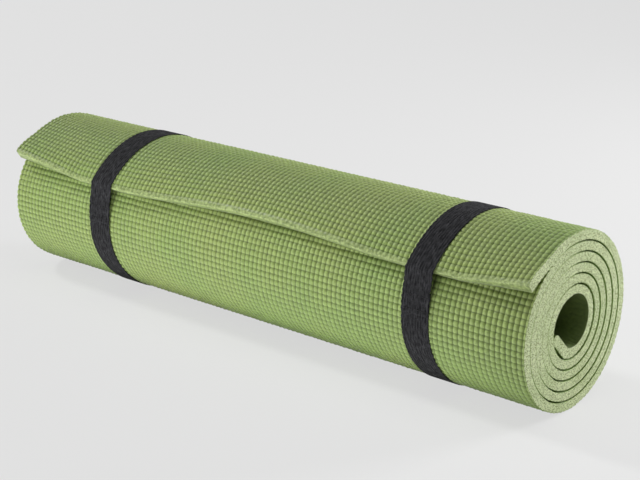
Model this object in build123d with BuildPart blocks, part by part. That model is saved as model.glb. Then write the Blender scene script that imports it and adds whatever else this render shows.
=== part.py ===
from build123d import *
import os
from math import acos, atan2, cos, degrees, hypot, pi, radians, sin, sqrt, tan

# A rolled foam exercise mat, held by two sewn elastic straps.
# Millimetres. +X runs along the roll, -Y is the front and +Z is up.
# Section angles run from +Y towards +Z, as seen from the +X end.

# The mat: one sheet of foam
MAT_WIDTH = 610
MAT_LENGTH = 1830
MAT_THICKNESS = 8
LIP_RADIUS = 2.5

# The winding: a spiral of half turns, opened out at its free end and folded flat at its inner end
CORE_RADIUS = 22.8
TURN_GAP = 0.9
TIP_ANGLE = 146
FLAP_LENGTH = 60
FLAP_OPENING = 6
INNER_BEND_RADIUS = 8
INNER_BEND_ANGLE = 38

# The flap's free corners, which spring out beyond the straps; the looser turns there take up some of the flap
CORNER_OPENING = 60
CORNER_TAKE_UP = 6.5

# The straps: two equal loops of elastic, placed by their distance from the nearer end of the roll
STRAP_WIDTH = 28.5
STRAP_THICKNESS = 1.2
STRAP_CLEARANCE = 0.3
LEFT_STRAP_INSET = 127.5
RIGHT_STRAP_INSET = 102.5
RESTING_FLAT_DEPTH = 0.5
OUTWARD_TRAVEL = 20
TRAVEL_CLEARANCE = 1.5

# The sewn lap that closes each strap
LAP_LENGTH = 20
LAP_TO_ROLL = 6
LAP_RISE_LENGTH = 6
LAP_GAP = 0.1

# The thread: rows of running stitches across the lap
THREAD_THICKNESS = 0.5
STITCH_LENGTH = 3
SEAM_INSET = 4

# The step between points where the gap between turns is measured
MEASURING_STEP = 2

HALF_SHEET = MAT_THICKNESS / 2
TURN_PITCH = MAT_THICKNESS + TURN_GAP
HALF_TURN_GROWTH = TURN_PITCH / 2


def direction(angle):
    return Vector(cos(radians(angle)), sin(radians(angle)))


def along(angle):
    """The way round the roll, towards larger angles, at the place that faces this angle."""
    return Vector(-sin(radians(angle)), cos(radians(angle)))


def half_turn_radius(count):
    """The radius of a half turn, at the middle of the sheet."""
    return CORE_RADIUS + HALF_SHEET + count * HALF_TURN_GROWTH


def inner_flat_length():
    """How long the flat inner end is, if its outer corner stops one turn gap short of the second half turn."""
    bend = INNER_BEND_RADIUS + HALF_SHEET
    corner_radius = bend + HALF_SHEET
    facing = direction(-INNER_BEND_ANGLE)
    start = Vector(half_turn_radius(0) - bend - HALF_TURN_GROWTH, 0) + facing * corner_radius
    wall_radius = half_turn_radius(1) - HALF_SHEET - TURN_GAP
    approach = start.dot(along(-INNER_BEND_ANGLE))
    return approach + sqrt(approach**2 + wall_radius**2 - start.dot(start))


def wind_sheet():
    """The curved runs of the sheet from inside to outside: centre, middle radius, start angle and sweep."""
    bend_radius = INNER_BEND_RADIUS + HALF_SHEET
    bend_length = radians(INNER_BEND_ANGLE) * bend_radius
    left_over = MAT_LENGTH - FLAP_LENGTH - inner_flat_length() - bend_length
    half_turns = 0
    while left_over > pi * half_turn_radius(half_turns):
        left_over -= pi * half_turn_radius(half_turns)
        half_turns += 1
    last_radius = half_turn_radius(half_turns)
    last_sweep = degrees(left_over / last_radius)
    flap_sweep = degrees(FLAP_LENGTH / (last_radius + FLAP_OPENING))

    angle = TIP_ANGLE - flap_sweep - last_sweep - 180 * half_turns
    centre = Vector(0, 0)
    bend_centre = centre + direction(angle) * (half_turn_radius(0) - bend_radius)
    runs = [(bend_centre, bend_radius, angle - INNER_BEND_ANGLE, INNER_BEND_ANGLE)]
    for count in range(half_turns):
        runs.append((centre, half_turn_radius(count), angle, 180))
        angle += 180
        centre -= direction(angle) * HALF_TURN_GROWTH
    runs.append((centre, last_radius, angle, last_sweep))
    return runs


def flap_run(last_turn, opening, length):
    """The run beyond the last turn, on a radius that is larger by this opening."""
    centre, radius, start, sweep = last_turn
    flap_start = start + sweep
    flap_centre = centre - direction(flap_start) * opening
    return flap_centre, radius + opening, flap_start, degrees(length / (radius + opening))


def sheet_point(run, angle, height):
    """A point on a run, at this height above the middle of the sheet."""
    centre, radius = run[:2]
    return centre + direction(angle) * (radius + height)


wound_runs = wind_sheet()
flap = flap_run(wound_runs[-1], FLAP_OPENING, FLAP_LENGTH)
sprung_flap = flap_run(wound_runs[-1], CORNER_OPENING, FLAP_LENGTH - CORNER_TAKE_UP)
sheet_runs = wound_runs + [flap]
inner_bend = sheet_runs[0]
inner_flat = inner_flat_length()

# The strap runs straight from the rounded lip of the flap down to the turn below it
lip_turn = degrees(atan2(LIP_RADIUS, flap[1] + HALF_SHEET - LIP_RADIUS))
lip_centre = sheet_point(flap, TIP_ANGLE - lip_turn, HALF_SHEET - LIP_RADIUS)
inner_lip = LIP_RADIUS + STRAP_CLEARANCE
for run in wound_runs[1:]:
    centre, radius, start, sweep = run
    outer_radius = radius + HALF_SHEET + STRAP_CLEARANCE
    to_centre = centre - lip_centre
    distance = hypot(to_centre.X, to_centre.Y)
    facing = degrees(atan2(to_centre.Y, to_centre.X)) % 360
    landing_angle = facing - degrees(acos((inner_lip - outer_radius) / distance)) - 360
    if start <= landing_angle < start + sweep:
        bridge_angle = landing_angle
        bridge_length = sqrt(distance**2 - (outer_radius - inner_lip) ** 2)

bridge_start = lip_centre + direction(bridge_angle) * inner_lip
lap_end = bridge_length - LAP_TO_ROLL
lap_start = lap_end - LAP_LENGTH
lap_height = STRAP_THICKNESS + LAP_GAP


def on_bridge(distance, height):
    """A point on the strap's straight stretch, measured from the lip and out from the strap's inner face."""
    return bridge_start + along(bridge_angle) * distance + direction(bridge_angle) * height


def strap_side(height):
    """One face of the strap: the lower end of the lap, the way round the roll, and the upper end of the lap."""
    Line(on_bridge(lap_start, height), on_bridge(bridge_length, height))
    for centre, radius, start, sweep in sheet_runs[1:]:
        first = max(start, bridge_angle)
        last = min(start + sweep, TIP_ANGLE - lip_turn)
        if last > first:
            CenterArc(centre, radius + HALF_SHEET + STRAP_CLEARANCE + height, first, last - first)
    lip_sweep = bridge_angle + 360 - TIP_ANGLE + lip_turn
    CenterArc(lip_centre, inner_lip + height, TIP_ANGLE - lip_turn, lip_sweep)
    mitre = height * tan(atan2(lap_height, LAP_RISE_LENGTH) / 2)
    Polyline(
        on_bridge(0, height),
        on_bridge(lap_start - LAP_RISE_LENGTH - mitre, height),
        on_bridge(lap_start - mitre, lap_height + height),
        on_bridge(lap_end, lap_height + height),
    )


def across_sheet(run, angle):
    Line(sheet_point(run, angle, -HALF_SHEET), sheet_point(run, angle, HALF_SHEET))


def flap_section(run):
    """The flap with its rounded lip."""
    centre, radius, start, sweep = run
    with BuildSketch() as section:
        with BuildLine():
            for height in (-HALF_SHEET, HALF_SHEET):
                CenterArc(centre, radius + height, start, sweep)
            across_sheet(run, start)
            across_sheet(run, start + sweep)
        make_face()
        fillet(section.vertices().sort_by_distance(sheet_point(run, start + sweep, HALF_SHEET))[0], LIP_RADIUS)
    return section.sketch


with BuildSketch() as roll_section:
    with BuildLine():
        for height in (-HALF_SHEET, HALF_SHEET):
            bend_start = sheet_point(inner_bend, inner_bend[2], height)
            Line(bend_start - along(inner_bend[2]) * inner_flat, bend_start)
            for centre, radius, start, sweep in wound_runs:
                CenterArc(centre, radius + height, start, sweep)
        inner_tip = sheet_point(inner_bend, inner_bend[2], 0) - along(inner_bend[2]) * inner_flat
        inner_face = direction(inner_bend[2]) * HALF_SHEET
        Line(inner_tip - inner_face, inner_tip + inner_face)
        across_sheet(flap, flap[2])
    make_face()

with BuildSketch() as strap_section:
    with BuildLine():
        strap_side(0)
        strap_side(STRAP_THICKNESS)
        Line(on_bridge(lap_start, 0), on_bridge(lap_start, STRAP_THICKNESS))
        Line(on_bridge(lap_end, lap_height), on_bridge(lap_end, lap_height + STRAP_THICKNESS))
    make_face()

# The part stands on the straps' flats, in the middle of its own outline
outline = strap_section.sketch.bounding_box()
thread_front = min(on_bridge(lap_end, lap_height + STRAP_THICKNESS + THREAD_THICKNESS).X, outline.min.X)
axis_y = -(thread_front + outline.max.X) / 2
axis_z = -outline.min.Y - RESTING_FLAT_DEPTH


def section_plane(x):
    return Plane(origin=(x, axis_y, axis_z), x_dir=(0, 1, 0), z_dir=(1, 0, 0))


os.makedirs("parts", exist_ok=True)

strap_places = {
    "left_strap": LEFT_STRAP_INSET - MAT_WIDTH / 2,
    "right_strap": MAT_WIDTH / 2 - RIGHT_STRAP_INSET,
}
pressed_margin = STRAP_WIDTH / 2 + OUTWARD_TRAVEL + TRAVEL_CLEARANCE
pressed_from = strap_places["left_strap"] - pressed_margin
pressed_to = strap_places["right_strap"] + pressed_margin

# Mat: the wound sheet, and its flap, pressed on by the straps between two sprung corners
with BuildPart() as mat:
    with BuildSketch(section_plane(0)):
        add(roll_section.sketch)
    extrude(amount=MAT_WIDTH / 2, both=True)
    with BuildSketch(section_plane(pressed_from)):
        add(flap_section(flap))
    extrude(amount=pressed_to - pressed_from)
    for pressed_x, corner_x in ((pressed_from, -MAT_WIDTH / 2), (pressed_to, MAT_WIDTH / 2)):
        with BuildSketch(section_plane(pressed_x)):
            add(flap_section(flap))
        with BuildSketch(section_plane(corner_x)):
            add(flap_section(sprung_flap))
        loft(ruled=True)
mat.part.label = "mat"
export_step(mat.part, "parts/mat.step")

# Straps and their stitching
lap_layers = lap_height + STRAP_THICKNESS
stitch_count = int((STRAP_WIDTH - STITCH_LENGTH) / STITCH_LENGTH)
for strap_name, strap_x in strap_places.items():
    strap_plane = section_plane(strap_x)
    with BuildPart() as stitching:
        for row_place in (lap_start + SEAM_INSET, lap_end - SEAM_INSET):
            row_plane = Plane(
                origin=strap_plane.from_local_coords(on_bridge(row_place, 0)),
                x_dir=(1, 0, 0),
                z_dir=strap_plane.y_dir * along(bridge_angle).Y + strap_plane.x_dir * along(bridge_angle).X,
            )
            outward = row_plane.to_local_coords(strap_plane.from_local_coords(on_bridge(row_place, 1))).Y
            with BuildSketch(row_plane):
                for count in range(stitch_count):
                    stitch_x = (count - (stitch_count - 1) / 2) * STITCH_LENGTH
                    above = lap_layers + THREAD_THICKNESS / 2
                    below = -THREAD_THICKNESS / 2
                    with Locations((stitch_x, outward * (above if count % 2 == 0 else below))):
                        Rectangle(STITCH_LENGTH + THREAD_THICKNESS, THREAD_THICKNESS)
                    if count:
                        with Locations((stitch_x - STITCH_LENGTH / 2, outward * lap_layers / 2)):
                            Rectangle(THREAD_THICKNESS, lap_layers + 2 * THREAD_THICKNESS)
            extrude(amount=THREAD_THICKNESS / 2, both=True)
    stitching.part.label = f"{strap_name}_stitching"

    with BuildPart() as strap:
        with BuildSketch(strap_plane):
            add(strap_section.sketch)
        extrude(amount=STRAP_WIDTH / 2, both=True)
        split(bisect_by=Plane.XY, keep=Keep.TOP)
        add(stitching.part, mode=Mode.SUBTRACT)
    strap.part.label = strap_name

    export_step(strap.part, f"parts/{strap_name}.step")
    export_step(stitching.part, f"parts/{strap_name}_stitching.step")


def face_points(height):
    """Points along one face of the wound sheet, with how far along the sheet each one lies."""
    points = []
    travelled = inner_flat
    for run in sheet_runs:
        _, radius, start, sweep = run
        length = radians(sweep) * radius
        steps = max(1, round(length / MEASURING_STEP))
        for step in range(steps):
            point = sheet_point(run, start + sweep * step / steps, height)
            points.append((travelled + length * step / steps, point.X, point.Y))
        travelled += length
    return points


outer_face = face_points(HALF_SHEET)
inner_face_points = face_points(-HALF_SHEET)
least_gap = min(
    hypot(y - other_y, z - other_z)
    for place, y, z in outer_face
    for other_place, other_y, other_z in inner_face_points
    if abs(place - other_place) > pi * CORE_RADIUS
)
print(f"turns of the mat: {sum(run[3] for run in sheet_runs) / 360:.2f}")
print(f"least gap between turns: {least_gap:.2f} mm")
print(f"roll axis at y {axis_y:.2f}, z {axis_z:.2f}")
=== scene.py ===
from math import acos, atan2, cos, degrees, hypot, pi, radians, sin, sqrt

import bpy
import numpy as np
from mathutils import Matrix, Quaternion, Vector


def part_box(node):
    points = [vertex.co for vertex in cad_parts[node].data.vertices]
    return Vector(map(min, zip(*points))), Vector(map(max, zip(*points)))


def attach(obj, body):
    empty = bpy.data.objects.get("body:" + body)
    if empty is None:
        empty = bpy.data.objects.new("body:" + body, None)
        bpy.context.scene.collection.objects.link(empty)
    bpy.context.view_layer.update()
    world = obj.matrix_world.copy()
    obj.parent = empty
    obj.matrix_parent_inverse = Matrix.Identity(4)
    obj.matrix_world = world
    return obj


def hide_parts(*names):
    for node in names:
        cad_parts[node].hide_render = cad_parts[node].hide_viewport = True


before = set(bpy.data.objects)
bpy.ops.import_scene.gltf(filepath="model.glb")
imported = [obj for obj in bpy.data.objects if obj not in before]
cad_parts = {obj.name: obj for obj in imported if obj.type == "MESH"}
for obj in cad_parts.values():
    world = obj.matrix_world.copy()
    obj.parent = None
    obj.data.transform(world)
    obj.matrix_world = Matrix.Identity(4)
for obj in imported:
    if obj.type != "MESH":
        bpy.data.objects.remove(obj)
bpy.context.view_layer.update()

# A rolled foam exercise mat, held by two sewn elastic straps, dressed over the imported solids.
# Sizes are in millimetres, as in the CAD, and become metres when a mesh is made.
# Section angles run from +Y towards +Z in degrees, as seen from the +X end.

METRE = 1000

# The sheet and its winding, as in the CAD
MAT_WIDTH = 610
MAT_LENGTH = 1830
MAT_THICKNESS = 8
LIP_RADIUS = 2.5
CORE_RADIUS = 22.8
TURN_GAP = 0.9
TIP_ANGLE = 146
FLAP_LENGTH = 60
FLAP_OPENING = 6
INNER_BEND_RADIUS = 8
INNER_BEND_ANGLE = 38
ROLL_AXIS = np.array([-0.64, 76.30])

# The straps, as in the CAD
STRAP_WIDTH = 28.5
STRAP_CLEARANCE = 0.3
PRESSED_MARGIN = 21.5
LAP_LENGTH = 20
LAP_RISE_LENGTH = 6
LAP_GAP = 0.1
THREAD_THICKNESS = 0.5
STITCH_LENGTH = 3
SEAM_INSET = 4

# The moulded grid of bumps, which stand a little above the CAD's surface
COLUMNS_OF_BUMPS = 121
ROWS_OF_BUMPS = 366
BUMP_HEIGHT = 2
BUMP_SQUARENESS = 4.5
ROW_GROOVE_SHARE = 0.68
BUMP_UNEVENNESS = 0.2
BUMP_SEED = 5
BUMPS_ABOVE_CAD = 0.7

# The smooth margin along the free edge, and the rounding of the edges
EDGE_MARGIN = 2.2
EDGE_MARGIN_BETWEEN_STRAPS = 4
EDGE_ROUNDING = 1.6
EDGE_FOOT = 0.5
MARGIN_LEVEL = 0.6
MARGIN_SMOOTHNESS = 0.8
RIM_RADIUS = 0.3

# Where the mat's mesh has its points: on the bumps, at the roundings and inside the roll
BUMP_SAMPLES = np.array([0, 0.13, 0.5, 0.87])
RIM_SAMPLES = np.array([1, 0.6, 0.25, 0])
TIP_SAMPLES = np.array([0, 0.1, 0.3, 0.6, 1])
LIP_ANGLES = np.array([15, 30, 45, 60, 75, 90])
LEAST_ROW_STEP = 0.1
END_BAND_COLUMNS = 3
HIDDEN_COLUMN_STEP = 5

# The inner side of the first turn, squeezed into wrinkles that run along the core, with painted shade
# there
WRINKLE_HEIGHT = 0.5
WRINKLED_LENGTH = 200
WRINKLES_FADE_FROM = 0.7
WRINKLE_SHADE = 0.6
WRINKLE_SWAY = 0.5

# The waves of that sway: strength, and millimetres for each radian across and along the sheet
WRINKLE_WAVES = ((1, 23, 9), (0.6, 8.5, -17))

# Which stretches of the sheet show, and how much of the bumps' relief is left between the turns
OUTSIDE_LENGTH = 560
UNCOVERED_LENGTH = 510
OPEN_INNER_LENGTH = 130
FADE_LENGTH = 30
HIDDEN_RELIEF = 0.4
PRESSED_RELIEF = 0.2
TOUCHING_RELIEF = 0.5

# The shown flap: its edge is bowed and slightly askew, and its corners spring open
BOW_DEPTH = 8
BOW_HALF_LENGTH = 175
ASKEW = 2.7
ASKEW_FROM = -100
ASKEW_TO = 185
CORNER_OPENING = 75
CORNER_TAKE_UP = 6.5
CORNER_FULLER = 3
CORNER_BENDS_FROM = 8
CORNER_BENDS_TO = 45
SLACK_LENGTH = 320

# The side where the turns press together: they shift towards it, and their inner faces swell
PRESSED_SIDE_ANGLE = 160
PRESSED_FROM_ANGLE = 103
PRESSED_FULL_ANGLE = 55
TURN_SHIFT = 0.72
SWELLING = 0.6

# The shown inner end leaves the core's wall a little later than in the CAD, and its tip is rounded
INNER_END_TURNED = 17
INNER_END_LONGER = 4
INNER_END_FULLER = 0.9
TIP_ROUNDING = 4
TIP_CLEARANCE = 0.25

# The shown straps: thinner than in the CAD, pressed into the bumps, and swaying along the roll
SHOWN_STRAP_THICKNESS = 0.75
SHOWN_LAP_TO_ROLL = 2
STRAP_SHIFT = {"left_strap": 2.5, "right_strap": 1.6}
STRAP_SWAY = {"left_strap": -4.9, "right_strap": -4.1}
SWAY_BELOW_LIP = 38
SWAY_LENGTH = 52
RIBS = 11
RIB_DEPTH = 0.3
SAMPLES_PER_RIB = 8
SELVEDGE = 0.5
EDGE_WAVE = 0.8
EDGE_WAVE_SHARPNESS = 15
PATH_STEP = 1.2
LEAST_ARC_STEPS = 4

# The shown stitches, and the puckers that they pull into the lap
PUCKER_DEPTH = 0.35
PUCKER_LENGTH = 1.5
STITCH_RISE = 0.12
STITCH_DIVE = 0.6
STITCH_SHORTER = 0.1
STITCH_SQUARENESS = 4
STITCH_POINTS = 11
STITCH_SIDES = 8

# Sizes that follow from these
HALF_SHEET = MAT_THICKNESS / 2
HALF_TURN_GROWTH = (MAT_THICKNESS + TURN_GAP) / 2
COLUMN_PITCH = MAT_WIDTH / COLUMNS_OF_BUMPS
ROW_PITCH = MAT_LENGTH / ROWS_OF_BUMPS

# The camera, fitted to the roll's outline in the photograph
PHOTO_WIDTH_PX = 640
CAMERA_FOCAL_PX = 1538.4
CAMERA_SENSOR_MM = 36
CAMERA_AZIMUTH = 41.916
CAMERA_ELEVATION = 18.198
CAMERA_DISTANCE = 1418
CAMERA_YAW = -1.165
CAMERA_PITCH = 0.1415


def direction(angle):
    """Unit vectors in the section that face these angles."""
    turn = np.radians(angle)
    return np.stack([np.cos(turn), np.sin(turn)], axis=-1)


def along(angle):
    """Unit vectors in the section that run round the roll, where it faces these angles."""
    turn = np.radians(angle)
    return np.stack([-np.sin(turn), np.cos(turn)], axis=-1)


def smooth_step(low, high, value):
    """0 up to low and 1 from high on, with a smooth rise between them."""
    share = np.clip((value - low) / (high - low), 0, 1)
    return share * share * (3 - 2 * share)


def half_turn_radius(count):
    """The radius of the middle of the sheet in a half turn, counted from the core."""
    return CORE_RADIUS + HALF_SHEET + count * HALF_TURN_GROWTH


def inner_flat_length(turned):
    """How long the inner end is, if its outer corner stops one gap short of the next half turn."""
    bend = INNER_BEND_RADIUS + HALF_SHEET
    flat_angle = turned - INNER_BEND_ANGLE
    start = direction(turned) * (half_turn_radius(0) - bend) - np.array([HALF_TURN_GROWTH, 0])
    start = start + direction(flat_angle) * (bend + HALF_SHEET)
    wall_radius = half_turn_radius(1) - HALF_SHEET - TURN_GAP
    approach = start @ along(flat_angle)
    return approach + sqrt(approach**2 + wall_radius**2 - start @ start)


def wind_sheet():
    """The sheet's curved runs from inside to outside: centre, middle radius, start angle, sweep."""
    bend_radius = INNER_BEND_RADIUS + HALF_SHEET
    bend_length = radians(INNER_BEND_ANGLE) * bend_radius
    left_over = MAT_LENGTH - FLAP_LENGTH - inner_flat_length(0) - bend_length
    half_turns = 0
    while left_over > pi * half_turn_radius(half_turns):
        left_over -= pi * half_turn_radius(half_turns)
        half_turns += 1
    last_radius = half_turn_radius(half_turns)
    last_sweep = degrees(left_over / last_radius)
    flap_sweep = degrees(FLAP_LENGTH / (last_radius + FLAP_OPENING))

    angle = TIP_ANGLE - flap_sweep - last_sweep - 180 * half_turns
    centre = np.zeros(2)
    shown_angle = angle + INNER_END_TURNED
    bend_centre = centre + direction(shown_angle) * (half_turn_radius(0) - bend_radius)
    runs = [(bend_centre, bend_radius, shown_angle - INNER_BEND_ANGLE, INNER_BEND_ANGLE)]
    for count in range(half_turns):
        turned = INNER_END_TURNED if count == 0 else 0
        runs.append((centre, half_turn_radius(count), angle + turned, 180 - turned))
        angle += 180
        centre = centre - direction(angle) * HALF_TURN_GROWTH
    runs.append((centre, last_radius, angle, last_sweep))
    return runs


def flap_run(last_turn, opening):
    """The run beyond the last turn, on a radius that is larger by this opening."""
    centre, radius, start, sweep = last_turn
    flap_start = start + sweep
    flap_centre = centre - direction(flap_start) * opening
    flap_radius = radius + opening
    return flap_centre, flap_radius, flap_start, degrees(FLAP_LENGTH / flap_radius)


def place_on_run(run, angle, height):
    """Points on a run, at these heights above the middle of the sheet."""
    centre, radius = run[:2]
    return centre + direction(angle) * np.expand_dims(radius + height, -1)


wound_runs = wind_sheet()
pressed_flap = flap_run(wound_runs[-1], FLAP_OPENING)
sprung_flap = flap_run(wound_runs[-1], CORNER_OPENING)
bend_begins = inner_flat_length(0) + radians(INNER_END_TURNED) * half_turn_radius(0)
sheet_begins = bend_begins - inner_flat_length(INNER_END_TURNED) - INNER_END_LONGER
flap_begins = MAT_LENGTH - FLAP_LENGTH

strap_middles = {}
for strap_name in ("left_strap", "right_strap"):
    strap_low, strap_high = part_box(strap_name)
    strap_middles[strap_name] = (strap_low[0] + strap_high[0]) / 2 * METRE
between_straps = sum(strap_middles.values()) / 2


def sprung_share(across):
    """How far the flap has sprung from the pressed shape to that of its free corners."""
    reach = STRAP_WIDTH / 2 + PRESSED_MARGIN
    pressed_from = strap_middles["left_strap"] - reach
    pressed_to = strap_middles["right_strap"] + reach
    left = (pressed_from - across) / (pressed_from + MAT_WIDTH / 2)
    right = (across - pressed_to) / (MAT_WIDTH / 2 - pressed_to)
    return np.clip(np.maximum(left, right), 0, 1)


def bow_share(across):
    """1 midway between the straps, falling to 0 near them."""
    return np.clip(1 - ((across - between_straps) / BOW_HALF_LENGTH) ** 2, 0, 1) ** 2


def edge_slack(across):
    """How far the free edge lies back from where a straight edge would be."""
    sprung = sprung_share(across)
    askew = ASKEW * smooth_step(ASKEW_FROM, ASKEW_TO, across) * (1 - sprung)
    return BOW_DEPTH * bow_share(across) + askew + CORNER_TAKE_UP * sprung


def sheet_angle(length_along):
    """The angle that the sheet faces at these lengths from its inner end."""
    angle = np.full(np.shape(length_along), float(wound_runs[0][2]))
    travelled = bend_begins
    for _, radius, start, sweep in [*wound_runs, pressed_flap]:
        here = length_along >= travelled
        angle = np.where(here, start + np.degrees((length_along - travelled) / radius), angle)
        travelled += radians(sweep) * radius
    return angle


def turn_shift(length_along):
    """How far each turn is shifted towards the pressed side: most at the core."""
    turns_inside = (sheet_angle(MAT_LENGTH - OUTSIDE_LENGTH) - sheet_angle(length_along)) / 360
    return TURN_SHIFT * np.maximum(turns_inside, 0)


def press_to_wall(section):
    """Keeps the points of the inner end inside the turn that lies round it."""
    centre, radius = wound_runs[2][:2]
    turn_length = bend_begins + 2 * pi * half_turn_radius(1)
    centre = centre + turn_shift(turn_length) * direction(PRESSED_SIDE_ANGLE)
    outward = section - centre
    distance = np.hypot(outward[..., 0], outward[..., 1])
    limit = radius - HALF_SHEET - TIP_CLEARANCE
    return centre + outward * np.minimum(1, limit / distance)[..., None]


def roll_up(across, length_along, height):
    """Points of the wound sheet, from places on the flat sheet and heights above its middle."""
    across, length_along, height = np.broadcast_arrays(across, length_along, height)
    taken_up = smooth_step(MAT_LENGTH - SLACK_LENGTH, flap_begins, length_along)
    length_along = length_along - edge_slack(across) * taken_up
    bend = wound_runs[0]
    inner_end = along(bend[2]) * (length_along - bend_begins)[..., None]
    section = place_on_run(bend, bend[2], height) + inner_end
    travelled = bend_begins
    for run in wound_runs:
        _, radius, start, sweep = run
        here = length_along >= travelled
        angle = start + np.degrees((length_along[here] - travelled) / radius)
        section[here] = place_on_run(run, angle, height[here])
        travelled += radians(sweep) * radius
    here = length_along >= flap_begins
    beyond = length_along[here] - flap_begins
    shapes = []
    for run in (pressed_flap, sprung_flap):
        angle = run[2] + np.degrees(beyond / run[1])
        shapes.append(place_on_run(run, angle, height[here]))
    bent = smooth_step(CORNER_BENDS_FROM, CORNER_BENDS_TO, beyond)
    share = (sprung_share(across[here]) * bent)[..., None]
    section[here] = shapes[0] * (1 - share) + shapes[1] * share
    section = section + turn_shift(length_along)[..., None] * direction(PRESSED_SIDE_ANGLE)
    tongue = length_along < bend_begins
    section[tongue] = press_to_wall(section[tongue])
    return np.concatenate([across[..., None], section + ROLL_AXIS], axis=-1)


bump_counts = (ROWS_OF_BUMPS + 1, COLUMNS_OF_BUMPS + 2)
bump_variety = np.random.default_rng(BUMP_SEED).uniform(1 - BUMP_UNEVENNESS, 1, bump_counts)


def groove(place):
    """1 in the groove between two bumps and 0 over the middle of a bump, each bump being 1 long."""
    return np.abs(2 * (place % 1) - 1) ** BUMP_SQUARENESS


def bump_level(across, length_along):
    """The moulded grid: 1 on top of the bumps and 0 in the grooves."""
    column = across / COLUMN_PITCH
    row = length_along / ROW_PITCH
    over_column = 1 - groove(column)
    over_row = 1 - ROW_GROOVE_SHARE * groove(row)
    row_index = np.clip(np.floor(row), 0, ROWS_OF_BUMPS).astype(int)
    column_index = (np.floor(column) + COLUMNS_OF_BUMPS // 2 + 1).astype(int)
    return over_column * over_row * bump_variety[row_index, column_index]


def rim_drop(across):
    """How far the faces round off towards the cut ends of the roll."""
    from_end = np.clip(MAT_WIDTH / 2 - np.abs(across), 0, RIM_RADIUS)
    return RIM_RADIUS - np.sqrt(RIM_RADIUS**2 - (RIM_RADIUS - from_end) ** 2)


def tip_drop(length_along):
    """How far the faces round off towards the tip of the inner end."""
    from_tip = np.clip(length_along - sheet_begins, 0, TIP_ROUNDING)
    return TIP_ROUNDING - np.sqrt(TIP_ROUNDING**2 - (TIP_ROUNDING - from_tip) ** 2)


def margin_share(across, length_along):
    """1 on the smooth margin along the free edge, and 0 on the grid."""
    width = EDGE_MARGIN + (EDGE_MARGIN_BETWEEN_STRAPS - EDGE_MARGIN) * bow_share(across)
    return 1 - smooth_step(width, width + ROW_PITCH / 2, MAT_LENGTH - length_along)


def pressed_share(length_along):
    """1 where the turns press together, and 0 where they stand apart."""
    from_middle = np.abs((sheet_angle(length_along) - PRESSED_SIDE_ANGLE + 180) % 360 - 180)
    return 1 - smooth_step(PRESSED_FULL_ANGLE, PRESSED_FROM_ANGLE, from_middle)


def outside_share(length_along):
    """0 inside the roll, rising to 1 on its outside under the flap."""
    begins = MAT_LENGTH - UNCOVERED_LENGTH
    return smooth_step(begins, begins + FADE_LENGTH, length_along)


def flap_share(length_along):
    """0 where the flap still lies on the turn below, rising to 1 where it stands open."""
    return smooth_step(CORNER_BENDS_FROM, CORNER_BENDS_TO, length_along - flap_begins)


def squeezed_share(length_along):
    """1 on the first turn, falling to 0 where its wrinkles end."""
    return 1 - smooth_step(WRINKLES_FADE_FROM, 1, length_along / WRINKLED_LENGTH)


def relief_share(length_along, shown):
    """How much of the bumps' relief is left, where this share of the sheet shows."""
    pressed = pressed_share(length_along)
    just_touching = 4 * pressed * (1 - pressed)
    hidden = HIDDEN_RELIEF + (PRESSED_RELIEF - HIDDEN_RELIEF) * pressed
    hidden = hidden + TOUCHING_RELIEF * just_touching
    return hidden + (1 - hidden) * shown


def outer_level(across, length_along):
    """The outer side: the grid with its smooth margin, low where it lies between the turns."""
    margin = MARGIN_SMOOTHNESS * margin_share(across, length_along)
    level = bump_level(across, length_along) * (1 - margin) + MARGIN_LEVEL * margin
    open_to = OPEN_INNER_LENGTH + 2 * FADE_LENGTH
    at_core = 1 - smooth_step(OPEN_INNER_LENGTH, open_to, length_along)
    shown = np.maximum(outside_share(length_along), at_core)
    return 1 - (1 - level) * relief_share(length_along, shown)


def inner_level(across, length_along):
    """The inner side: the grid, low between the turns and drawn into wrinkles along the core."""
    sway = 0
    for strength, per_across, per_along in WRINKLE_WAVES:
        sway = sway + strength * np.sin(across / per_across + length_along / per_along)
    wrinkle = groove(length_along / ROW_PITCH + WRINKLE_SWAY * sway)
    wrinkle = 1 - wrinkle * WRINKLE_HEIGHT / BUMP_HEIGHT
    relief = relief_share(length_along, flap_share(length_along))
    low_grid = 1 - (1 - bump_level(across, length_along)) * relief
    squeezed = squeezed_share(length_along)
    return low_grid * (1 - squeezed) + wrinkle * squeezed


def face_drop(across, length_along, level):
    """How far a face lies under its full height, in the grooves and at the roundings."""
    return BUMP_HEIGHT * (1 - level) + rim_drop(across) + tip_drop(length_along)


def inner_end_fuller(length_along):
    """How much each face of the inner end stands out further than in the CAD."""
    beyond_bend = smooth_step(bend_begins, bend_begins + FADE_LENGTH, length_along)
    return INNER_END_FULLER * (1 - beyond_bend)


def outer_height(across, length_along, level):
    """Heights of the outer face above the middle of the sheet."""
    to_edge = smooth_step(0, 2 * EDGE_MARGIN, MAT_LENGTH - length_along)
    above_cad = BUMPS_ABOVE_CAD * outside_share(length_along) * to_edge
    full = HALF_SHEET + above_cad + inner_end_fuller(length_along)
    return full - face_drop(across, length_along, level)


def inner_height(across, length_along, level):
    """Heights of the inner face above the middle of the sheet, which are below 0."""
    pressed = 1 - (1 - pressed_share(length_along)) ** 2
    beyond_core = length_along > bend_begins + pi * half_turn_radius(1)
    swelling = SWELLING * pressed * (1 - flap_share(length_along)) * beyond_core
    at_corner = sprung_share(across) * smooth_step(flap_begins, MAT_LENGTH, length_along)
    fuller = inner_end_fuller(length_along) + CORNER_FULLER * at_corner
    return face_drop(across, length_along, level) - HALF_SHEET - swelling - fuller


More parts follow.
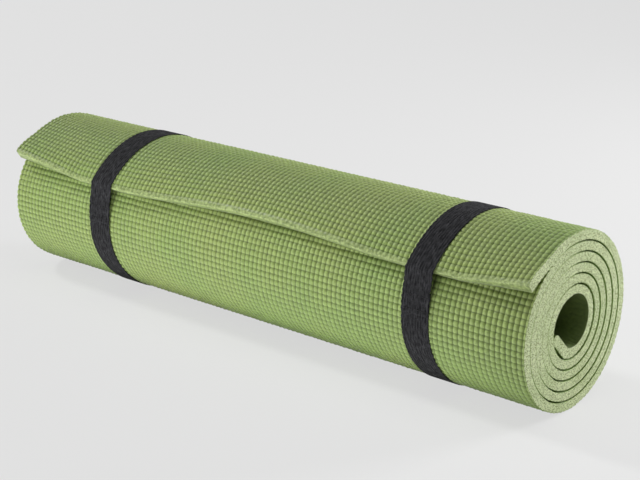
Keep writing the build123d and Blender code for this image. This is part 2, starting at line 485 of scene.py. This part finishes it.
class MeshParts:
    """Points, faces and named values of a mesh that is put together from grids."""

    def __init__(self):
        self.points = []
        self.values = {}
        self.count = 0
        self.faces = []
        self.slots = []

    def add_rows(self, points, **values):
        """Adds a grid of points with their values, and returns the numbers of its points."""
        rows, columns = points.shape[:2]
        numbers = np.arange(rows * columns).reshape(rows, columns) + self.count
        self.points.append(points.reshape(-1, 3))
        for name, value in values.items():
            self.values.setdefault(name, []).append(np.broadcast_to(value, (rows, columns)).ravel())
        self.count += rows * columns
        return numbers

    def add_quads(self, near, far, slot=0):
        """Adds a strip of quads between two equal rows, or between stacks of rows."""
        near, far = np.atleast_2d(near), np.atleast_2d(far)
        corners = [near[:, :-1], near[:, 1:], far[:, 1:], far[:, :-1]]
        quads = np.stack(corners, axis=-1).reshape(-1, 4)
        self.faces.extend(quads.tolist())
        self.slots.extend([slot] * len(quads))

    def add_face(self, numbers, slot=0):
        """Adds one face through these points."""
        self.faces.append([int(number) for number in numbers])
        self.slots.append(slot)

    def add_fans(self, sparse, dense, kept, slot=0):
        """Joins a row with few points to one with many, of which it has the kept ones."""
        for place in range(len(kept) - 1):
            many = dense[kept[place] : kept[place + 1] + 1]
            self.add_face([sparse[place + 1], sparse[place], *many], slot)

    def add_tube(self, rings):
        """Closes a stack of rings into a tube with two ends."""
        closed = np.concatenate([rings, rings[:, :1]], axis=1)
        self.add_quads(closed[:-1], closed[1:])
        self.add_face(rings[0][::-1])
        self.add_face(rings[-1])

    def make(self, name, materials, flat_slots=()):
        """The finished piece, smooth except where its faces are in flat slots."""
        mesh = bpy.data.meshes.new(name)
        mesh.from_pydata((np.concatenate(self.points) / METRE).tolist(), [], self.faces)
        for value_name, parts in self.values.items():
            values = mesh.attributes.new(value_name, "FLOAT", "POINT")
            values.data.foreach_set("value", np.concatenate(parts))
        mesh.polygons.foreach_set("material_index", self.slots)
        mesh.polygons.foreach_set("use_smooth", [slot not in flat_slots for slot in self.slots])
        for material_used in materials:
            mesh.materials.append(material_used)
        mesh.validate()
        piece = bpy.data.objects.new(name, mesh)
        bpy.context.scene.collection.objects.link(piece)
        return piece


def make_mat(skin, cut):
    """The wound sheet: fine all over where it shows, and fine only at its ends inside the roll."""
    cut_slot = 1
    samples = len(BUMP_SAMPLES)
    whole_columns = np.arange(-(COLUMNS_OF_BUMPS // 2) - 1, COLUMNS_OF_BUMPS // 2 + 1)
    fine = ((whole_columns[:, None] + BUMP_SAMPLES) * COLUMN_PITCH).ravel()
    fine = fine[np.abs(fine) < MAT_WIDTH / 2 - RIM_RADIUS]
    rim = MAT_WIDTH / 2 - RIM_RADIUS * RIM_SAMPLES
    fine = np.concatenate([-rim[::-1], fine, rim])
    end_band = END_BAND_COLUMNS * samples + len(rim)
    last_band = len(fine) - end_band - 1
    middle = range(end_band, last_band, HIDDEN_COLUMN_STEP * samples)
    kept = np.array([*range(end_band), *middle, *range(last_band, len(fine))])
    sparse = fine[kept]
    band_begins = MAT_WIDTH / 2 - END_BAND_COLUMNS * COLUMN_PITCH
    in_band = smooth_step(band_begins, band_begins + COLUMN_PITCH, np.abs(sparse))

    rows = ((np.arange(ROWS_OF_BUMPS)[:, None] + BUMP_SAMPLES) * ROW_PITCH).ravel()
    tip_rows = sheet_begins + TIP_ROUNDING * TIP_SAMPLES
    rows = rows[(rows > tip_rows[-1] + LEAST_ROW_STEP) & (rows < MAT_LENGTH - EDGE_ROUNDING)]
    rows = np.concatenate([tip_rows, rows])
    shows_outside = np.searchsorted(rows, MAT_LENGTH - OUTSIDE_LENGTH)
    shows_inside = np.searchsorted(rows, WRINKLED_LENGTH)

    mat = MeshParts()

    def add_side(columns, lengths, level_of, height_of, band=1.0, shade=np.zeros(1)):
        """Adds one side of a stretch of the sheet, with its bumps only in the band."""
        across, length_along = columns[None, :], lengths[:, None]
        level = level_of(across, length_along) * band + MARGIN_LEVEL * (1 - band)
        height = height_of(across, length_along, level)
        margin = margin_share(across, length_along)
        points = roll_up(across, length_along, height)
        return mat.add_rows(points, level=level, margin=margin, squeezed=shade[:, None])

    outer_hidden = add_side(sparse, rows[:shows_outside], outer_level, outer_height, in_band)
    outer_shown = add_side(fine, rows[shows_outside:], outer_level, outer_height)
    # Painted shade on the inner side of the first turn, darkest deep in the core
    core_shade = WRINKLE_SHADE * squeezed_share(rows[:shows_inside])
    inner_shown = add_side(fine, rows[:shows_inside], inner_level, inner_height, shade=core_shade)
    inner_hidden = add_side(sparse, rows[shows_inside:], inner_level, inner_height, in_band)

    mat.add_quads(outer_hidden[:-1], outer_hidden[1:])
    mat.add_fans(outer_hidden[-1], outer_shown[0], kept)
    mat.add_quads(outer_shown[:-1], outer_shown[1:])
    mat.add_quads(inner_shown[1:], inner_shown[:-1])
    mat.add_fans(inner_hidden[0], inner_shown[-1], kept)
    mat.add_quads(inner_hidden[1:], inner_hidden[:-1])

    lip_turn = np.radians(LIP_ANGLES)
    lip_along = np.append(MAT_LENGTH - EDGE_ROUNDING * (1 - np.sin(lip_turn)), MAT_LENGTH)
    last_height = outer_height(fine, MAT_LENGTH - EDGE_ROUNDING, MARGIN_LEVEL)
    lip_height = last_height[None, :] - EDGE_ROUNDING * (1 - np.cos(lip_turn))[:, None]
    foot_height = EDGE_FOOT + rim_drop(fine) - HALF_SHEET - CORNER_FULLER * sprung_share(fine)
    foot_height = np.minimum(foot_height, lip_height[-1])
    lip_height = np.concatenate([lip_height, foot_height[None, :]])
    lip_points = roll_up(fine[None, :], lip_along[:, None], lip_height)
    lip = mat.add_rows(lip_points, level=MARGIN_LEVEL, margin=1, squeezed=0)
    mat.add_quads(outer_shown[-1], lip[0])
    mat.add_quads(lip[:-1], lip[1:])
    mat.add_fans(inner_hidden[-1], lip[-1], kept)
    mat.add_fans(outer_hidden[0], inner_shown[0], kept, cut_slot)

    for end, order in ((0, 1), (-1, -1)):
        outside = np.concatenate([outer_hidden[:, end], outer_shown[:, end]])
        inside = np.concatenate([inner_shown[:, end], inner_hidden[:, end]])
        first, second = (outside, inside) if order > 0 else (inside, outside)
        mat.add_quads(first, second, cut_slot)
        mat.add_face([outside[-1], *lip[:, end], inside[-1]][::order], cut_slot)
    return mat.make("foam_mat", [skin, cut], flat_slots=(cut_slot,))


lip_turn_angle = degrees(atan2(LIP_RADIUS, pressed_flap[1] + HALF_SHEET - LIP_RADIUS))
lip_centre = place_on_run(pressed_flap, TIP_ANGLE - lip_turn_angle, HALF_SHEET - LIP_RADIUS)
lip_wrap = LIP_RADIUS + STRAP_CLEARANCE


def find_bridge():
    """The straight stretch from the lip to the turn below: the angle that it faces, and its length."""
    for centre, radius, start, sweep in wound_runs[1:]:
        wrap = radius + HALF_SHEET + STRAP_CLEARANCE
        to_centre = centre - lip_centre
        distance = hypot(*to_centre)
        facing = degrees(atan2(to_centre[1], to_centre[0])) % 360
        landing = facing - degrees(acos((lip_wrap - wrap) / distance)) - 360
        if start <= landing < start + sweep:
            found = landing, sqrt(distance**2 - (wrap - lip_wrap) ** 2)
    return found


bridge_angle, bridge_length = find_bridge()
bridge_start = lip_centre + direction(bridge_angle) * lip_wrap
lap_end = bridge_length - SHOWN_LAP_TO_ROLL
lap_start = lap_end - LAP_LENGTH
lap_height = SHOWN_STRAP_THICKNESS + LAP_GAP
seam_places = (lap_start + SEAM_INSET, lap_end - SEAM_INSET)


def on_bridge(distance, height):
    """Points on that stretch, at these distances from the lip and heights above its inner face."""
    away = np.expand_dims(height, -1) * direction(bridge_angle)
    return bridge_start + np.expand_dims(distance, -1) * along(bridge_angle) + away


def strap_path():
    """Points along the strap's inner face, the angles they face, and which of them is at the lip."""
    lower = np.arange(lap_start, bridge_length, PATH_STEP)
    points = [on_bridge(lower, np.zeros(len(lower)))]
    facings = [np.full(len(lower), bridge_angle)]
    arcs = []
    for centre, radius, start, sweep in wound_runs[1:]:
        arcs.append((centre, radius + HALF_SHEET + STRAP_CLEARANCE, start, start + sweep))
    flap_radius = pressed_flap[1] + HALF_SHEET + STRAP_CLEARANCE
    arcs.append((pressed_flap[0], flap_radius, pressed_flap[2], TIP_ANGLE - lip_turn_angle))
    arcs.append((lip_centre, lip_wrap, TIP_ANGLE - lip_turn_angle, bridge_angle + 360))
    for centre, radius, start, stop in arcs:
        start = max(start, bridge_angle)
        if stop > start:
            steps = max(LEAST_ARC_STEPS, round(radians(stop - start) * radius / PATH_STEP))
            angles = np.linspace(start, stop, steps, endpoint=False)
            points.append(centre + direction(angles) * radius)
            facings.append(angles)
    upper = np.linspace(0, lap_end, round(lap_end / PATH_STEP) + 1)
    rise = lap_height * smooth_step(lap_start - LAP_RISE_LENGTH, lap_start, upper)
    for seam in seam_places:
        rise = rise - PUCKER_DEPTH * np.exp(-(((upper - seam) / PUCKER_LENGTH) ** 2))
    lip_place = sum(len(part) for part in points)
    points.append(on_bridge(upper, rise))
    facings.append(np.full(len(upper), bridge_angle))
    return np.concatenate(points), np.concatenate(facings), lip_place


def strap_profile():
    """The strap's outline in section: places across it, and heights above its inner face."""
    across = np.linspace(-STRAP_WIDTH / 2, STRAP_WIDTH / 2, RIBS * SAMPLES_PER_RIB + 1)
    from_edge = np.clip((STRAP_WIDTH / 2 - np.abs(across)) / SELVEDGE, 0, 1)
    half = SHOWN_STRAP_THICKNESS / 2 * np.sqrt(1 - (1 - from_edge) ** 2)
    rib_wave = np.cos(2 * pi * RIBS * (across / STRAP_WIDTH + 0.5))
    valley = RIB_DEPTH * (0.5 + 0.5 * rib_wave) * from_edge
    top = SHOWN_STRAP_THICKNESS / 2 + half - valley
    bottom = SHOWN_STRAP_THICKNESS / 2 - half
    back = slice(-2, 0, -SAMPLES_PER_RIB)
    return np.concatenate([across, across[back]]), np.concatenate([top, bottom[back]])


def strap_middle(strap_name, below_lip, loop_length):
    """Where the strap's middle lies along the roll, at these distances down from the lip."""
    from_sway = (below_lip - SWAY_BELOW_LIP + loop_length / 2) % loop_length - loop_length / 2
    sway = STRAP_SWAY[strap_name] * np.exp(-((from_sway / SWAY_LENGTH) ** 2))
    return strap_middles[strap_name] + STRAP_SHIFT[strap_name] + sway


def strap_points(strap_name, points, facings, lip_place, across, heights):
    """The strap's surface, its outline carried along its path, and the lengths along that path."""
    travelled = np.concatenate([[0], np.cumsum(np.hypot(*np.diff(points, axis=0).T))])
    to_lip = travelled[lip_place]
    middle = strap_middle(strap_name, travelled - to_lip, to_lip + lap_start)
    outward = direction(facings)[:, None, :] * heights[None, :, None]
    section = points[:, None, :] + outward + ROLL_AXIS
    section[..., 1] = np.maximum(section[..., 1], 0)
    edge = across / (STRAP_WIDTH / 2)
    notch = EDGE_WAVE * (0.5 - 0.5 * np.cos(2 * pi * travelled / ROW_PITCH))
    x = middle[:, None] + across[None, :] - notch[:, None] * edge[None, :] ** EDGE_WAVE_SHARPNESS
    return np.concatenate([x[..., None], section], axis=-1), travelled


def make_strap(strap_name, elastic):
    """One strap as a closed band, and its length."""
    points, facings, lip_place = strap_path()
    across, heights = strap_profile()
    surface, travelled = strap_points(strap_name, points, facings, lip_place, across, heights)
    strap = MeshParts()
    rings = strap.add_rows(surface, across=across[None, :], along=travelled[:, None])
    strap.add_tube(rings[:, ::-1])
    return strap.make(strap_name + "_band", [elastic]), travelled[-1]


def make_stitching(strap_name, thread, loop_length):
    """Two rows of stitches over the lap, each a short bent thread that dives into the elastic."""
    stitching = MeshParts()
    count = int((STRAP_WIDTH - STITCH_LENGTH) / STITCH_LENGTH)
    share = np.linspace(-1, 1, STITCH_POINTS)
    round_angles = np.linspace(0, 360, STITCH_SIDES, endpoint=False)
    ring = direction(round_angles) * THREAD_THICKNESS / 2
    top = lap_height + SHOWN_STRAP_THICKNESS
    bend = (STITCH_RISE + STITCH_DIVE) * np.abs(share) ** STITCH_SQUARENESS
    for seam in seam_places:
        middle = strap_middle(strap_name, seam, loop_length)
        section = on_bridge(np.full(len(share), seam), top + STITCH_RISE - bend) + ROLL_AXIS
        for place in range(count):
            stitch_middle = middle + (place - (count - 1) / 2) * STITCH_LENGTH
            x = stitch_middle + share * (STITCH_LENGTH / 2 - STITCH_SHORTER)
            rings = np.empty((len(share), len(ring), 3))
            rings[..., 0] = x[:, None]
            rings[..., 1:] = section[:, None, :] + ring[None, :, :]
            stitching.add_tube(stitching.add_rows(rings))
    return stitching.make(strap_name + "_thread", [thread])


# Colours, as linear shares of red, green and blue
FOAM_TOP = (0.366, 0.468, 0.140, 1)
FOAM_TOP_LEAFY = (0.320, 0.454, 0.130, 1)
# Painted shade, deep in the grooves between the bumps
FOAM_GROOVE_PAINTED_SHADE = (0.095, 0.134, 0.030, 1)
FOAM_EDGE_DARK = (0.205, 0.272, 0.085, 1)
FOAM_EDGE_PALE = (0.385, 0.475, 0.185, 1)
FOAM_CUT = (0.690, 0.780, 0.460, 1)
FOAM_PORE = (0.170, 0.225, 0.070, 1)
# Painted shade inside the core
FOAM_CORE_PAINTED_SHADE = (0.060, 0.072, 0.032, 1)
CUT_SHADED = (0.93, 0.95, 0.90, 1)
CUT_BLEACHED = (1.04, 1.03, 1.05, 1)
ELASTIC_DARK = (0.002, 0.002, 0.003, 1)
ELASTIC_LIGHT = (0.047, 0.047, 0.051, 1)
THREAD_DARK = (0.004, 0.004, 0.005, 1)
THREAD_LIGHT = (0.012, 0.012, 0.014, 1)

# How the streaks in the weave lie: their slant in degrees, and how much they are drawn out
WEAVE_SLANT = 25
WEAVE_STRETCH = (1, 0.3, 1)


def grey(value):
    """A colour with this share of red, green and blue."""
    return (value, value, value, 1)


def material(name):
    """A new material, with its nodes, its links and its shader."""
    made = bpy.data.materials.new(name)
    made.use_nodes = True
    nodes = made.node_tree.nodes
    return made, nodes, made.node_tree.links, nodes["Principled BSDF"]


def node(nodes, kind, **settings):
    """A new node, with its settings and the values of its sockets."""
    made = nodes.new(kind)
    for name, value in settings.items():
        if name in made.inputs:
            made.inputs[name].default_value = value
        else:
            setattr(made, name, value)
    return made


def carried(nodes, name):
    """The value of this name that the mesh carries at its points."""
    return node(nodes, "ShaderNodeAttribute", attribute_name=name).outputs["Fac"]


def ramp(nodes, links, value, low, high, low_at=0.0, high_at=1.0):
    """A colour that goes from low to high with a value."""
    made = nodes.new("ShaderNodeValToRGB")
    for element, colour, place in zip(made.color_ramp.elements, (low, high), (low_at, high_at)):
        element.color = colour
        element.position = place
    links.new(value, made.inputs["Fac"])
    return made.outputs["Color"]


def mixed(nodes, links, share, first, second, blend_type="MIX"):
    """Two colours mixed by a share, which is a number or a node's output."""
    made = node(nodes, "ShaderNodeMix", data_type="RGBA", blend_type=blend_type)
    for name, value in (("Factor_Float", share), ("A_Color", first), ("B_Color", second)):
        socket = next(one for one in made.inputs if one.identifier == name)
        if isinstance(value, bpy.types.NodeSocket):
            links.new(value, socket)
        else:
            socket.default_value = value
    return next(one for one in made.outputs if one.identifier == "Result_Color")


def tinted(nodes, links, colour, tint):
    """A colour multiplied by a tint."""
    return mixed(nodes, links, 1.0, colour, tint, blend_type="MULTIPLY")


def between(nodes, links, value, low, high, value_low=0.0, value_high=1.0):
    """A number that goes from low to high with a value."""
    made = node(nodes, "ShaderNodeMapRange")
    made.inputs["From Min"].default_value = value_low
    made.inputs["From Max"].default_value = value_high
    made.inputs["To Min"].default_value = low
    made.inputs["To Max"].default_value = high
    links.new(value, made.inputs["Value"])
    return made.outputs["Result"]


def noise(nodes, links, place, scale, detail=2.0):
    """Soft random values, finer with a larger scale."""
    made = node(nodes, "ShaderNodeTexNoise", Scale=scale, Detail=detail)
    links.new(place, made.inputs["Vector"])
    return made.outputs["Fac"]


def roughen(nodes, links, shader, height, strength, distance):
    """Gives the shader's surface a fine relief of this height."""
    bump = node(nodes, "ShaderNodeBump", Strength=strength, Distance=distance)
    links.new(height, bump.inputs["Height"])
    links.new(bump.outputs["Normal"], shader.inputs["Normal"])


def foam_skin():
    """The moulded skin: painted shade in the grooves and in the core, a little leafier in patches,
    with a fine grain.
    """
    made, nodes, links, shader = material("foam_skin")
    place = node(nodes, "ShaderNodeTexCoord").outputs["Object"]
    patches = noise(nodes, links, place, scale=11.0)
    grain = noise(nodes, links, place, scale=1500.0)
    speckle = noise(nodes, links, place, scale=420.0, detail=3.0)
    leafy = between(nodes, links, patches, low=0, high=1, value_low=0.35, value_high=0.65)
    top = mixed(nodes, links, leafy, FOAM_TOP, FOAM_TOP_LEAFY)
    # Painted shade: the skin darkens where its level falls into the grooves between the bumps
    raised = between(nodes, links, carried(nodes, "level"), low=0, high=1, value_high=0.7)
    moulded = mixed(nodes, links, raised, FOAM_GROOVE_PAINTED_SHADE, top)
    margin = carried(nodes, "margin")
    edge = ramp(nodes, links, speckle, FOAM_EDGE_DARK, FOAM_EDGE_PALE, low_at=0.36, high_at=0.64)
    moulded = mixed(nodes, links, margin, moulded, edge)
    # Painted shade inside the core, over the first turn's wrinkles
    moulded = mixed(nodes, links, carried(nodes, "squeezed"), moulded, FOAM_CORE_PAINTED_SHADE)
    dust = ramp(nodes, links, speckle, grey(0.84), grey(1.14), low_at=0.3, high_at=0.7)
    links.new(tinted(nodes, links, moulded, dust), shader.inputs["Base Color"])
    dull = between(nodes, links, speckle, low=0.36, high=0.60, value_low=0.3, value_high=0.7)
    links.new(dull, shader.inputs["Roughness"])
    relief = mixed(nodes, links, margin, grain, speckle)
    roughen(nodes, links, shader, relief, strength=0.3, distance=0.0005)
    shader.inputs["Specular IOR Level"].default_value = 0.4
    shader.inputs["Sheen Weight"].default_value = 0.08
    shader.inputs["Sheen Roughness"].default_value = 0.4
    return made


def foam_cut():
    """The cut ends of the sheet: pale, with open cells as dark pores."""
    made, nodes, links, shader = material("foam_cut")
    place = node(nodes, "ShaderNodeTexCoord").outputs["Object"]
    cells = node(nodes, "ShaderNodeTexVoronoi", Scale=950.0)
    links.new(place, cells.inputs["Vector"])
    unevenness = noise(nodes, links, place, scale=760.0, detail=3.0)
    patches = noise(nodes, links, place, scale=40.0)
    pores = mixed(nodes, links, share=0.5, first=cells.outputs["Distance"], second=unevenness)
    walls = ramp(nodes, links, pores, FOAM_PORE, FOAM_CUT, low_at=0.33, high_at=0.53)
    dust = ramp(nodes, links, patches, CUT_SHADED, CUT_BLEACHED, low_at=0.35, high_at=0.65)
    links.new(tinted(nodes, links, walls, dust), shader.inputs["Base Color"])
    dull = between(nodes, links, unevenness, low=0.75, high=0.95)
    links.new(dull, shader.inputs["Roughness"])
    roughen(nodes, links, shader, pores, strength=0.35, distance=0.0004)
    shader.inputs["Specular IOR Level"].default_value = 0.2
    return made


def elastic_band():
    """Woven elastic: picks of weft across the strap, slanted streaks, dull fuzz and worn patches."""
    made, nodes, links, shader = material("woven_elastic")
    joined = node(nodes, "ShaderNodeCombineXYZ")
    links.new(carried(nodes, "across"), joined.inputs["X"])
    links.new(carried(nodes, "along"), joined.inputs["Y"])
    place = joined.outputs["Vector"]
    weft = node(
        nodes, "ShaderNodeTexWave", bands_direction="Y", Scale=0.42, Distortion=1.2, Detail=1.0
    )
    links.new(place, weft.inputs["Vector"])
    fuzz = noise(nodes, links, place, scale=0.8, detail=4.0)
    patches = noise(nodes, links, place, scale=0.12)
    turned = (0, 0, radians(WEAVE_SLANT))
    slant = node(nodes, "ShaderNodeMapping", Rotation=turned, Scale=WEAVE_STRETCH)
    links.new(place, slant.inputs["Vector"])
    streaks = noise(nodes, links, slant.outputs["Vector"], scale=0.6, detail=3.0)
    woven = mixed(nodes, links, share=0.4, first=fuzz, second=weft.outputs["Fac"])
    woven = mixed(nodes, links, share=0.6, first=woven, second=streaks)
    base = ramp(nodes, links, woven, ELASTIC_DARK, ELASTIC_LIGHT, low_at=0.43, high_at=0.57)
    worn = ramp(nodes, links, patches, grey(0.8), grey(1.25), low_at=0.35, high_at=0.65)
    links.new(tinted(nodes, links, base, worn), shader.inputs["Base Color"])
    dull = between(nodes, links, fuzz, low=0.65, high=0.9, value_low=0.3, value_high=0.7)
    links.new(dull, shader.inputs["Roughness"])
    roughen(nodes, links, shader, woven, strength=0.9, distance=0.001)
    shader.inputs["Specular IOR Level"].default_value = 0.14
    return made


def sewing_thread():
    """Spun thread: a slant of fine strands."""
    made, nodes, links, shader = material("sewing_thread")
    place = node(nodes, "ShaderNodeTexCoord").outputs["Object"]
    wave = node(nodes, "ShaderNodeTexWave", bands_direction="DIAGONAL", Scale=900.0, Distortion=0.6)
    links.new(place, wave.inputs["Vector"])
    strands = wave.outputs["Fac"]
    links.new(ramp(nodes, links, strands, THREAD_DARK, THREAD_LIGHT), shader.inputs["Base Color"])
    roughen(nodes, links, shader, strands, strength=0.5, distance=0.0001)
    shader.inputs["Roughness"].default_value = 0.5
    shader.inputs["Specular IOR Level"].default_value = 0.3
    return made


elastic_material = elastic_band()
thread_material = sewing_thread()
for strap_name in strap_middles:
    band, band_length = make_strap(strap_name, elastic_material)
    stitches = make_stitching(strap_name, thread_material, band_length - LAP_LENGTH)
    dressed = ((band, strap_name, "elastic"), (stitches, strap_name + "_stitching", "thread"))
    for piece, replaced, slot_name in dressed:
        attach(piece, strap_name)
        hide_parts(replaced)

foam_mat = make_mat(foam_skin(), foam_cut())
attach(foam_mat, "mat")
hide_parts("mat")

# A pale floor, seen mostly by its own even colour, so that only a soft shadow is left
BACKDROP = grey(0.745)
FLOOR_GLOW = grey(0.860)
FLOOR_ROUGHNESS = 0.9
FLOOR_REACH_M = 8
EVEN_SHARE = 0.75


def seen_directly(nodes, links, share):
    """This share for rays from the camera or a reflection, and 0 for rays that carry light."""
    path = node(nodes, "ShaderNodeLightPath")
    seen = path.outputs["Is Camera Ray"]
    for name in ("Is Glossy Ray", "Is Transmission Ray"):
        larger = node(nodes, "ShaderNodeMath", operation="MAXIMUM")
        links.new(seen, larger.inputs[0])
        links.new(path.outputs[name], larger.inputs[1])
        seen = larger.outputs["Value"]
    return between(nodes, links, seen, low=0, high=share)


def make_floor():
    """The floor, as one large square."""
    reach = FLOOR_REACH_M
    corners = [(-reach, -reach, 0), (reach, -reach, 0), (reach, reach, 0), (-reach, reach, 0)]
    mesh = bpy.data.meshes.new("floor")
    mesh.from_pydata(corners, [], [(0, 1, 2, 3)])
    made = bpy.data.objects.new("floor", mesh)
    bpy.context.scene.collection.objects.link(made)
    floor_material, nodes, links, shader = material("floor")
    shader.inputs["Base Color"].default_value = BACKDROP
    shader.inputs["Roughness"].default_value = FLOOR_ROUGHNESS
    even = node(nodes, "ShaderNodeEmission", Color=FLOOR_GLOW)
    mix = node(nodes, "ShaderNodeMixShader")
    links.new(seen_directly(nodes, links, EVEN_SHARE), mix.inputs["Fac"])
    links.new(shader.outputs["BSDF"], mix.inputs[1])
    links.new(even.outputs["Emission"], mix.inputs[2])
    links.new(mix.outputs["Shader"], nodes["Material Output"].inputs["Surface"])
    mesh.materials.append(floor_material)
    return made


make_floor()

# Faint even light from all round, in a world that the camera sees as a pale backdrop
AMBIENT = 0.08
world = bpy.data.worlds.new("studio")
bpy.context.scene.world = world
world.use_nodes = True
world_nodes, world_links = world.node_tree.nodes, world.node_tree.links
ambient = world_nodes["Background"]
ambient.inputs["Color"].default_value = grey(1)
ambient.inputs["Strength"].default_value = AMBIENT
backdrop = node(world_nodes, "ShaderNodeBackground", Color=BACKDROP)
world_mix = node(world_nodes, "ShaderNodeMixShader")
world_links.new(seen_directly(world_nodes, world_links, 1), world_mix.inputs["Fac"])
world_links.new(ambient.outputs["Background"], world_mix.inputs[1])
world_links.new(backdrop.outputs["Background"], world_mix.inputs[2])
world_links.new(world_mix.outputs["Shader"], world_nodes["World Output"].inputs["Surface"])

# Soft boxes, and two bounce cards on the floor: place, target, power in watts and size in metres
LAMPS = {
    "key": ((-6.00, -0.90, 5.20), (0, 0, 0.08), 270, (1.1, 1.1)),
    "top": ((0.45, -0.05, 1.50), (0.45, -0.05, 0), 5.4, (1.4, 1.0)),
    "near_card": ((-0.11, -0.38, 0.003), (-0.11, -0.38, 1), 1.5, (0.82, 0.62)),
    "far_card": ((-0.25, -0.65, 0.003), (-0.25, -0.65, 1), 10.8, (0.9, 0.5)),
    "end_fill": ((0.85, 1.20, 0.45), (0.305, 0, 0.08), 18.2, (0.5, 0.5)),
}
for lamp_name, (lamp_place, target, energy, size) in LAMPS.items():
    lamp = bpy.data.lights.new(lamp_name, "AREA")
    lamp.energy = energy
    lamp.shape = "RECTANGLE"
    lamp.size, lamp.size_y = size
    holder = bpy.data.objects.new(lamp_name, lamp)
    holder.location = lamp_place
    holder.rotation_mode = "QUATERNION"
    holder.rotation_quaternion = (Vector(target) - Vector(lamp_place)).to_track_quat("-Z", "Y")
    holder.visible_camera = False
    bpy.context.scene.collection.objects.link(holder)

# The camera looks at the roll from the front right, a little turned from the roll's middle
turn_z = Quaternion((0, 0, 1), radians(CAMERA_YAW))
azimuth, elevation = radians(CAMERA_AZIMUTH), radians(CAMERA_ELEVATION)
back = Vector((sin(azimuth) * cos(elevation), -cos(azimuth) * cos(elevation), sin(elevation)))
sideways = (-back).cross(Vector((0, 0, 1))).normalized()
forward = Quaternion(sideways, radians(CAMERA_PITCH)) @ (turn_z @ -back)
camera_data = bpy.data.cameras.new("camera")
camera_data.sensor_width = CAMERA_SENSOR_MM
camera_data.lens = CAMERA_FOCAL_PX / PHOTO_WIDTH_PX * CAMERA_SENSOR_MM
camera = bpy.data.objects.new("camera", camera_data)
camera.location = Vector((0, *ROLL_AXIS)) / METRE + back * CAMERA_DISTANCE / METRE
camera.rotation_mode = "QUATERNION"
camera.rotation_quaternion = forward.to_track_quat("-Z", "Y")
bpy.context.scene.collection.objects.link(camera)
bpy.context.scene.camera = camera

bpy.context.scene.view_settings.view_transform = "Standard"
